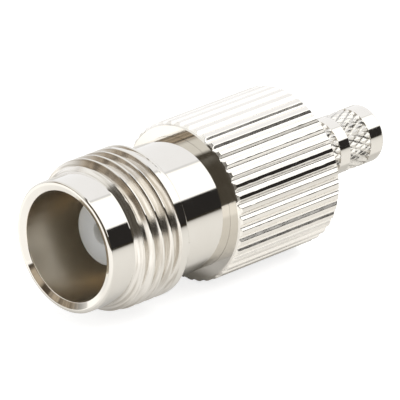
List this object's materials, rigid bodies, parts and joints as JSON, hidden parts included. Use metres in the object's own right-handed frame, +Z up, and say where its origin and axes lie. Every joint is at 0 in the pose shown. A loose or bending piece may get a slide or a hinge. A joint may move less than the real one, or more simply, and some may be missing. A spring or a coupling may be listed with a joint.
{
  "type": "tnc connector",
  "caption": "Straight coaxial cable jack with a screw-coupling thread at the mouth, a straight-knurled body and a diamond-knurled crimp post at the rear.",
  "frame": {"origin": "on the axis, in the plane of the mouth", "axes": "+Y along the axis from the mouth to the crimp post, +Z up with the axis level"},
  "size_m": [0.0118, 0.0299, 0.0118],
  "materials": {
    "nickel_shell": "turned brass, bright nickel plate",
    "nickel_body": "knurled brass, bright nickel plate",
    "nickel_post": "turned and knurled brass, bright nickel plate",
    "insulator": "turned PTFE, white",
    "contact": "turned copper alloy, gold plate"
  },
  "bodies": {
    "root": {"front_shell": "nickel_shell", "knurled_body": "nickel_body", "crimp_post": "nickel_post", "insulator": "insulator", "centre_contact": "contact"}
  },
  "joints": []
}
